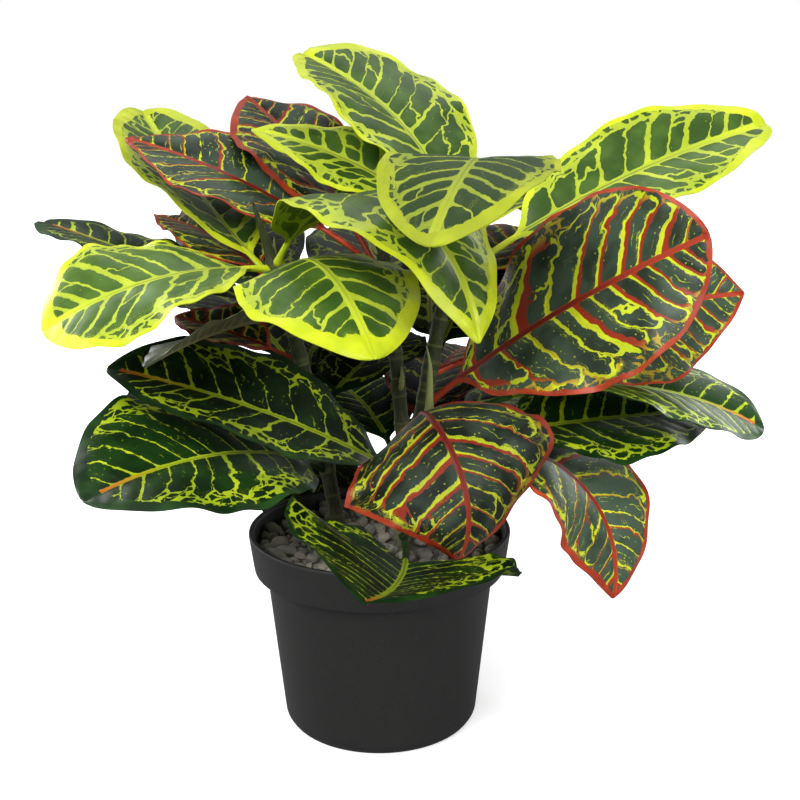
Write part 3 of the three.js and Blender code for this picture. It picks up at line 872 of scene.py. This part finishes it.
def directions(leaf, share):
    """The midrib's way, the blade's right side and its upper face's way, at shares of the length."""
    rise = np.radians(leaf["rise"] - leaf["droop"] * share)
    turn = np.radians(leaf["azimuth"] + leaf["sweep"] * share)
    along = np.stack([np.cos(rise) * np.cos(turn), np.cos(rise) * np.sin(turn), np.sin(rise)], axis=-1)
    side = np.stack([np.sin(turn), -np.cos(turn), np.zeros_like(turn)], axis=-1)
    return along, side, np.cross(side, along)


def midrib_path(leaf):
    """The midrib from the stem to the tip, in even steps."""
    axis = stem_way(leaf["stem"], leaf["height"])
    azimuth = math.radians(leaf["azimuth"])
    out = np.array([math.cos(azimuth), math.sin(azimuth), 0.0])
    out -= out @ axis * axis
    seat = on_stem(leaf["stem"], leaf["height"]) + unit(out) * (STEM_RADIUS + GAP)
    steps, _, _ = directions(leaf, (np.arange(PATH_STEPS) + 0.5) / PATH_STEPS)
    step = (leaf["stalk"] + leaf["blade"]) / PATH_STEPS
    return np.vstack([seat, seat + np.cumsum(steps * step, axis=0)])


def cross_section(leaf, reach, sign):
    """Sideways place and lift across the blade, as shares of the half width."""
    fold, arch = math.radians(leaf["fold"]), math.radians(max(leaf["arch"], 0.5))
    slope = fold - arch * reach
    return sign * (math.sin(fold) - np.sin(slope)) / arch, (np.cos(slope) - math.cos(fold)) / arch


def leaf_skin(rows, columns):
    """Faces of a closed skin of two sheets: the upper, the lower and the wall between their rims."""
    spot = np.arange(rows * columns).reshape(rows, columns)
    upper = np.stack([spot[:-1, :-1], spot[:-1, 1:], spot[1:, 1:], spot[1:, :-1]], axis=-1).reshape(-1, 4)
    lower = upper[:, ::-1] + spot.size
    rim = np.concatenate([spot[:-1, 0], spot[-1, :-1], spot[:0:-1, -1], spot[0, :0:-1]])
    ahead = np.roll(rim, -1)
    wall = np.stack([rim, ahead, ahead + spot.size, rim + spot.size], axis=1)
    finishes = np.repeat([0, 1, 0], [len(upper), len(lower), len(wall)])
    return np.vstack([upper, lower, wall]).tolist(), finishes


def leaf_blade(leaf):
    """Points, faces, face finishes and numbers of a whole leaf, stalk and blade, as one skin."""
    draw = np.random.default_rng(100 + leaf["index"])
    length = leaf["stalk"] + leaf["blade"]
    stalk_rows = max(5, int(leaf["stalk"] / ROW_PITCH))
    even = np.linspace(0, 1, max(30, int(leaf["blade"] / ROW_PITCH)))

    # Rows from inside the stem to the tip, closer together at both ends of the blade
    blade_t = 0.55 * even + 0.45 * (0.5 - 0.5 * np.cos(np.pi * even))
    stalk_t = -np.linspace(leaf["stalk"] + 1.6, 1.2, stalk_rows) / leaf["blade"]
    t = np.concatenate([stalk_t, blade_t])[:, None]
    on_blade = np.clip(t, 0, 1)
    forward_lean = VEIN_LEAN + VEIN_LEAN_TIP * on_blade
    share = (leaf["stalk"] + t[:, 0] * leaf["blade"]) / length
    path = midrib_path(leaf)
    steps = np.clip(share, 0, 1) * PATH_STEPS
    centre = np.stack([np.interp(steps, np.arange(PATH_STEPS + 1), path[:, k]) for k in range(3)], axis=1)
    along, side, up = directions(leaf, np.clip(share, 0, 1))
    centre += along * (np.minimum(share, 0) * length)[:, None]
    roll = np.radians(leaf["roll"] + leaf["twist"] * on_blade)
    right = side * np.cos(roll) + up * np.sin(roll)
    above = up * np.cos(roll) - side * np.sin(roll)

    # Across the blade: the flat place, then the fold, the arch and the waves of the margin
    grid = np.linspace(-1, 1, 2 * SIDE_COLUMNS + 1)[None, :]
    sign, spread = np.sign(grid), np.abs(grid) ** 1.35
    half, rib = half_width(leaf, t), rib_radius(leaf, t)
    whole = np.sqrt(half ** 2 + rib ** 2)
    flat = whole * spread
    blade = smooth(t, 0, BLADE_STARTS)
    place, lift = cross_section(leaf, spread, sign)
    x = whole * np.where(t > 0, place, sign * spread) * blade + sign * flat * (1 - blade)
    lag = MARGIN_LAG * sign + LEAF_LAG * leaf["index"]
    swell = leaf["width"] * spread ** 2 * np.sqrt(np.sin(np.pi * on_blade))
    swing = WAVE * swell * np.sin(2 * math.pi * WAVES_PER_BLADE * t + lag)
    ripple = RIPPLE * swell * spread ** 2 * np.sin(2 * math.pi * RIPPLES_PER_BLADE * t + 2.1 * lag)
    z = blade * (whole * lift + swing + ripple)

    # The side veins of each half, numbered from the foot, and the skin quilted between them
    forward = flat * forward_lean + VEIN_BEND * flat * spread ** 2
    numbers = {}
    quilt = np.zeros_like(flat)
    for label, mask in (("vein_left", grid < 0), ("vein_right", grid >= 0)):
        veins = side_veins(leaf, draw)
        numbers[label] = np.interp(t * leaf["blade"] - forward, veins, np.arange(len(veins)))
        bulge = np.abs(np.sin(np.pi * numbers[label])) ** 0.7
        quilt = np.where(mask, bulge * smooth(spread, 0.03, 0.22) * (1 - smooth(spread, 0.62, 0.95)), quilt)
    z = z + leaf["quilt"] * quilt * blade

    # Upper and lower face, with the stalk and the midrib standing out of them
    thick = np.maximum(BLADE_THICKNESS * (1 - 0.4 * spread ** 3) / 2 * blade, 0.02)
    round_rib = np.sqrt(np.clip(rib ** 2 - flat ** 2, 0, None))
    proud = 1 - 0.72 * smooth(t, -0.02, 0.12)
    middle = centre[:, None, :] + right[:, None, :] * x[..., None]
    sheets = [middle + above[:, None, :] * height[..., None]
              for height in (z + thick + round_rib * proud, z - thick - round_rib)]
    faces, finishes = leaf_skin(*flat.shape)

    lean = forward_lean + 3 * VEIN_BEND * spread ** 2
    slant = np.arctan(np.gradient(whole[:, 0], t[:, 0] * leaf["blade"]))[:, None]
    edge_tip = np.maximum(1 - t, 0) * leaf["blade"] * (1.1 if leaf["tip"] == "cut" else 0.8)
    numbers.update({
        "along": t * leaf["blade"], "across": sign * flat, "share": np.clip(t, -1, 1),
        "edge": np.minimum((whole - flat) * np.cos(slant), edge_tip), "half": np.maximum(whole, 1.0),
        "pitch": leaf["pitch"] / np.sqrt(1 + lean ** 2), "leaf": leaf["index"],
        "fresh": leaf["fresh"], "bold": leaf["bold"], "broad": leaf["broad"],
    })
    numbers = {key: np.tile(np.broadcast_to(value, flat.shape).ravel(), 2)
               for key, value in numbers.items()}
    return np.vstack(sheets).reshape(-1, 3), faces, finishes, numbers


print("columns across a blade:", 2 * SIDE_COLUMNS + 1)

# %% [markdown]
# What makes a croton is its colouring: along the midrib, the side veins and the margin the leaf is
# yellow or red, and the green between is left as islands. Painting a picture of that would fix it to
# one leaf. This group instead reads each point's place on the flat leaf and says how much of each
# marking lies there: side veins that thin outward, the arches that join them, a net of small cells
# beyond the arches, the margin, the midrib and stray flecks. A fine noise on every distance gives
# the ragged edges that the real markings have. A marking is drawn where the gap to its line, in
# millimetres, has closed.

# %% Leaf markings
MARKING_SIZES = {
    # In millimetres or as shares, for leaves with a yellow, a red and a dark green margin
    "Vein width": (1.5, 2.4, 1.15), "Vein reach": (0.08, 0.06, 0.06), "Arch": (0.73, 0.8, 0.7),
    "Arch rise": (0.15, 0.2, 0.24), "Arch width": (1.7, 1.6, 1.0), "Cell size": (5.6, 5.4, 4.9),
    "Cell gap": (1.5, 1.0, 0.95), "Cell share": (1.3, 0.5, 0.78), "Roundness": (3.0, 2.0, 1.8),
    "Cross veins": (0.34, 0.12, 0.22), "Margin": (2.4, 2.6, 3.0), "Margin at tip": (2.4, 0.6, 3.4),
    "Midrib": (1.8, 3.0, 2.8), "Midrib at tip": (4.4, 2.4, 2.2), "Flecks": (0.1, 0.45, 0.35),
    "Strokes": (0.25, 0.5, 0.4), "Ragged": (0.75, 1.15, 1.2),
}


def make_marking_group():
    inputs = {name: sizes[0] for name, sizes in MARKING_SIZES.items()}
    names = ("Veins", "Net", "Margin", "Midrib", "Flecks", "Tip side", "Chance", "Tone", "Outward", "Relief")
    w, given, out = new_group("Croton markings", inputs, names)
    along, across, edge, half, share, pitch, leaf, bold, broad, left_number, right_number = w.attributes(
        "along across edge half share pitch leaf bold broad vein_left vein_right")
    flat = w.point(along, across, leaf * 53.1)
    fine = (w.noise(flat, 0.34, 4.0, 0.68) - 0.5) * (given["Ragged"] * 2.6)
    slow = w.noise(flat, 0.06, 2.0) - 0.5
    sway = w.noise(w.point(across, along, leaf * 31.7), 0.11, 2.0) - 0.5
    bend = w.noise(w.point(along, across, leaf * 17.3 + 5.0), 0.2, 1.0) - 0.5
    right = w.calc("GREATER_THAN", across, 0.0)
    out_mm = abs(across)
    u = out_mm / half

    # Side veins: each has a whole number, and a chance that sets its width and its reach
    number = w.mix(right, left_number, right_number)
    number = number + (slow + sway + bend * 0.5) * (u * 1.1)
    whole = w.calc("ROUND", number)
    off = number - whole
    away = abs(off)
    chance = w.chance(w.point(whole, right, leaf))
    cell_chance = w.chance(w.point(w.calc("FLOOR", number), right, leaf + 0.5))
    side_chance = w.chance(w.point(right, leaf), "2D")
    hump = w.calc("SQRT", w.calc("SINE", away * math.pi))
    arch_at = given["Arch"] + (hump - 0.6) * given["Arch rise"]
    arch_at = arch_at + slow * 0.22 + (cell_chance - 0.5) * 0.16 + (side_chance - 0.5) * 0.14
    thick = given["Vein width"] * bold * (w.mix(u, 0.62, 0.38) * (chance * chance * 1.8 + 0.42))
    to_vein = away * pitch - thick
    reach = arch_at + given["Vein reach"] + (chance - 0.5) * 0.16
    vein_gap = to_vein + w.calc("MAXIMUM", u - reach, 0.0) * half * 1.6

    # Arches from vein to vein, and now and then a vein across
    inward = (arch_at - u) * half
    arch_half = given["Arch width"] * w.mix(0.6, 1.0, bold) * (w.noise(flat, 0.13, 1.0) * 0.6 + 0.2)
    lines_gap = w.calc("SMOOTH_MIN", vein_gap, abs(inward) - arch_half, given["Roundness"])
    cross_at = w.calc("FRACT", cell_chance * 7.0) * 0.5 + 0.22
    cross_at = cross_at + (w.calc("FRACT", number) * 0.12 + bend * 0.25)
    cross_gap = abs(u - cross_at) * half - given["Vein width"] * 0.42
    cross_gap = cross_gap + w.calc("GREATER_THAN", cell_chance, given["Cross veins"]) * 9.0
    lines_gap = w.calc("SMOOTH_MIN", lines_gap, cross_gap, given["Roundness"] * 0.7)
    veins = w.within(lines_gap + fine)

    # The net of small cells between the arches and the margin
    across_cells = across / given["Cell size"] + sway * 0.9
    along_cells = along / (given["Cell size"] * 1.15) + (leaf * 7.7 + bend * 1.6)
    cells = w.point(along_cells, across_cells)
    cell_edge = w.cells(cells, 1.0, 0.85, "DISTANCE_TO_EDGE")
    pebble = w.calc("MINIMUM", cell_edge, 0.62 - w.cells(cells, 1.0, 0.85))
    net_gap = pebble * given["Cell size"] - given["Cell gap"] * 0.5
    net_gap = net_gap + (fine * 0.8 + bend * given["Ragged"] * 1.4)
    patchy = w.step(w.noise(flat, 0.12, 2.0) + (given["Cell share"] - 0.5), 0.4, 0.6)
    net = w.within(net_gap) * w.step(inward, 0.4, -0.4) * patchy

    # Thin broken strokes beside the veins, and stray specks
    stroke_number = number * 3.0 + (slow * 1.5 + 0.5)
    stroke_off = abs(stroke_number - w.calc("ROUND", stroke_number))
    dashes = w.noise(w.point(number * 3.1, out_mm * 0.11, leaf * 3.1), 1.0, 3.0, 0.7)
    shown = w.step(dashes + (given["Strokes"] * 0.4 - 0.24), 0.5, 0.58)
    strokes = w.line(stroke_off * pitch * 0.33 + fine * 0.5, 0.2, 0.15) * shown
    strokes = strokes * w.step(u, 0.04, 0.14) * w.step(bold, 0.56, 0.6)
    speck = w.cells(flat, 0.42, 1.0)
    rare = w.node("ShaderNodeSeparateColor", {"Color": speck["Color"]})
    rare = w.calc("GREATER_THAN", rare, 1.0 - given["Flecks"] * 0.25)
    speck = (1.0 - w.step(speck + fine * 0.1, 0.08, 0.2)) * rare
    flecks = w.calc("MAXIMUM", speck * 0.8, strokes)

    # The margin, broader on one side of the leaf, and the midrib, webbed to its veins
    to_tip = w.step(share, 0.6, 1.0)
    band = (given["Margin"] + given["Margin at tip"] * to_tip) * broad
    band = band * (w.mix(to_tip, 1.45 - side_chance, 1.0) * (slow * 1.6 + 1.0))
    margin = w.line(edge + fine * 1.2, band, 0.15)
    rib_half = w.mix(w.calc("MAXIMUM", share, 0.0), given["Midrib"], given["Midrib at tip"]) * 0.5
    rib_gap = out_mm - rib_half
    web = w.calc("SMOOTH_MIN", rib_gap, to_vein, given["Roundness"] * 1.4)
    midrib = w.within(w.mix(w.step(u, 0.25, 0.4), web, rib_gap) + fine * 0.6)
    plain_rib = w.line(out_mm + fine * 0.5, rib_half)
    lines = w.calc("MAXIMUM", veins, w.calc("MAXIMUM", midrib - plain_rib, 0.0))
    plain_rib = w.calc("MAXIMUM", plain_rib, 1.0 - w.step(along, -0.5, 1.5))
    relief = w.calc("MAXIMUM", lines, net * 0.5) * (1.0 - margin)

    tip_side = w.step(off * pitch, -0.5, -0.1)
    results = (lines, net, margin, plain_rib, flecks, tip_side, chance, slow, u, relief)
    for name, result in zip(names, results):
        w.plug(out[name], result)
    return w.tree


marking_group = make_marking_group()
print("nodes in the marking group:", len(marking_group.nodes))

# %% [markdown]
# Three sorts of leaf grow on one bush. The young ones near the top have bright yellow margins and
# veins round mid-green islands. Older ones turn their midrib, margin and the tip side of their veins
# red, over islands that are almost black. The lowest stay dark green, with thin yellow veins and a
# plain green margin. Two more kinds vary the last: matt ones in the shade of the bush, and small
# faded olive ones. Each kind has an upper and a paler, duller under side, so there are ten finishes.
# All of them place the same group and differ in its widths and in the colours laid over it.

# %% Leaf finishes
LEAF_COLOURS = {
    # For leaves with a yellow, a red and a dark green margin, and for faded olive ones
    "island": ((44, 70, 22), (19, 29, 18), (8, 24, 7), (34, 44, 22)),
    "island_pale": ((70, 100, 34), (58, 74, 58), (24, 54, 16), (58, 68, 40)),
    "fleck": ((120, 150, 40), (160, 176, 34), (118, 144, 26), (112, 122, 60)),
    "vein": ((158, 176, 44), (176, 190, 30), (144, 166, 26), (120, 132, 56)),
    "vein_pale": ((184, 198, 54), (206, 214, 44), (182, 200, 34), (140, 148, 72)),
    "midrib": ((166, 184, 50), (118, 34, 24), (150, 170, 28), (136, 140, 76)),
    "midrib_tip": ((194, 208, 46), (160, 56, 32), (176, 84, 30), (150, 96, 60)),
    "margin": ((176, 191, 28), (142, 46, 26), (13, 38, 11), (34, 44, 22)),
    "margin_pale": ((200, 212, 38), (170, 64, 36), (32, 64, 22), (60, 64, 40)),
    # The groove colour is painted shade down the middle of the midrib
    "groove": ((104, 104, 40), (84, 24, 18), (100, 112, 34), (96, 92, 60)),
}
KIND_COLUMNS = ("sizes", "colours", "slot", "felt", "fade", "redness", "shine", "pitch", "quilt")
KIND_ROWS = {
    # Columns of the two tables, slot, the underside's felt and its share, and so on
    "yellow": (0, 0, "leaf_yellow", (140, 168, 50), 0.4, 0.0, 0.32, 13.5, 0.4),
    "red": (1, 1, "leaf_red", (78, 88, 48), 0.4, 1.0, 0.2, 13.0, 0.55),
    "dark": (2, 2, "leaf_dark", (58, 74, 36), 0.4, 0.0, 0.24, 12.5, 0.4),
    "shade": (2, 2, "leaf_dark", (40, 52, 28), 0.4, 0.0, 0.03, 12.5, 0.4),
    "olive": (2, 3, "leaf_dark", (138, 130, 110), 0.7, 0.0, 0.08, 9.0, 0.3),
}
LEAF_KINDS = {name: dict(zip(KIND_COLUMNS, row)) for name, row in KIND_ROWS.items()}
LEAF_SIDES, UNDERSIDE_SHINE = ("top", "underside"), 0.08


def leaf_finish(name, kind, under=False):
    """A leaf's skin: islands, then flecks, net, veins, margin and midrib, one over another. Each leaf
    has a number of its own that lightens or darkens it: partly its age, below 0 for an old dull
    one and above 0 for a young vivid one, and partly painted light and shade for how lit it stands."""
    material, w = new_material(name)
    marks = w.group(marking_group, **{key: sizes[kind["sizes"]] for key, sizes in MARKING_SIZES.items()})
    colours = {key: rows[kind["colours"]] for key, rows in LEAF_COLOURS.items()}
    fade = kind["fade"] if under else 0.0
    c = {key: linear(*(round((1 - fade) * a + fade * b) for a, b in zip(colour, kind["felt"])))
         for key, colour in colours.items()}
    redness = kind["redness"] * (0.5 if under else 1.0)

    cloud = w.noise(w.place(), 0.05, 3.0, 0.6)
    tone = w.step(marks["Tone"] + (cloud - 0.5), -0.22, 0.3)
    fresh, along, across = w.attributes("fresh share across")
    # The leaf's own number moves its islands towards the paler green: partly age, partly painted light and
    # shade
    base = w.tint(tone + fresh * 0.7, c["island"], c["island_pale"])
    base = w.tint(marks["Flecks"] * 0.9, base, c["fleck"])
    warm = w.step(w.noise(w.place(), 0.09, 2.0) + marks["Outward"] * 0.12, 0.5, 0.62)
    vein = w.tint(w.step(marks["Tone"], -0.1, 0.25), c["vein"], c["vein_pale"])
    base = w.tint(marks["Net"], base, w.tint(warm * (redness * 0.6), vein, c["margin"]))
    red_side = marks["Tip side"] * w.step(marks["Chance"], 0.12, 0.3)
    red_side = red_side * (1.0 - w.step(marks["Outward"], 0.72, 1.0))
    base = w.tint(marks["Veins"], base, w.tint(red_side * redness, vein, c["margin"]))
    rib = w.tint(w.step(along, 0.4 if redness else 0.65, 1.0), c["midrib"], c["midrib_tip"])
    base = w.tint(marks["Midrib"], base, rib)
    # Painted shade: a darker thin line down the middle of the midrib, stronger near the stalk, as if its
    # groove lay in shade
    groove = w.line(abs(across), 0.42, 0.2)
    base = w.tint(groove * (0.75 - w.step(along, 0.35, 0.9) * 0.65), base, c["groove"])
    edge = w.tint(w.step(w.noise(w.place(), 0.07, 2.0), 0.35, 0.7), c["margin"], c["margin_pale"])
    base = w.tint(marks["Margin"], base, edge)

    grain = w.group(grain_group, Size=0.5, Depth=0.02, Contrast=0.5)
    # Painted light and shade: the leaf's own number brightens or darkens its whole colour, beside its age;
    # the grain adds a random tone
    value = fresh * 0.45 + 1.0 + grain["Tone"] * 0.5
    colour = w.node("ShaderNodeHueSaturation", {"Color": base, "Value": value})
    dullness = w.calc("MAXIMUM", fresh * -1.0, 0.0) * 0.3
    roughness = grain["Tone"] * 0.25 + (0.62 if under else 0.36) + dullness
    height = marks["Relief"] * (0.12 if under else -0.1) + grain["Height"]
    w.finish(colour, roughness, UNDERSIDE_SHINE if under else kind["shine"], height, strength=0.8)
    return material


leaf_finishes = {
    name: [leaf_finish(f"{name} leaf {side}", kind, side == "underside") for side in LEAF_SIDES]
    for name, kind in LEAF_KINDS.items()
}
print("leaf finishes:", sum(len(pair) for pair in leaf_finishes.values()))

# %% [markdown]
# With form and finish ready, the leaves themselves are one loop. Each takes its own kind, and a
# smaller leaf has its side veins closer together, as it has as many of them as a large one. The
# faces of a blade are shaded smooth, but its cut edge stays sharp.

# %% Leaves


def grow_leaf(leaf):
    kind = LEAF_KINDS[leaf["kind"]]
    leaf["pitch"] = kind["pitch"] * math.sqrt(leaf["blade"] / 120)
    leaf["quilt"] = kind["quilt"] * min(1.0, leaf["blade"] / 100)
    points, faces, finishes, numbers = leaf_blade(leaf)
    piece = new_piece(f"leaf_{leaf['name']}_blade", points, faces, kind["slot"], f"leaf_{leaf['name']}",
                      numbers, finishes, leaf_finishes[leaf["kind"]])
    first, second = rows_of(piece.data.edges, "vertices", 2, np.int32).T
    count, columns = len(points) // 2, 2 * SIDE_COLUMNS + 1
    sharp = ((first < count) == (second < count)) & (numbers["share"][first] > 0.1)
    for end in (first, second):
        sharp &= np.isin(end % count % columns, (0, columns - 1))
    layer = piece.data.attributes.new("sharp_edge", "BOOLEAN", "EDGE")
    layer.data.foreach_set("value", sharp)
    return triangles(piece)


print("leaves grown:", len(leaves), "triangles:", sum(grow_leaf(leaf) for leaf in leaves))
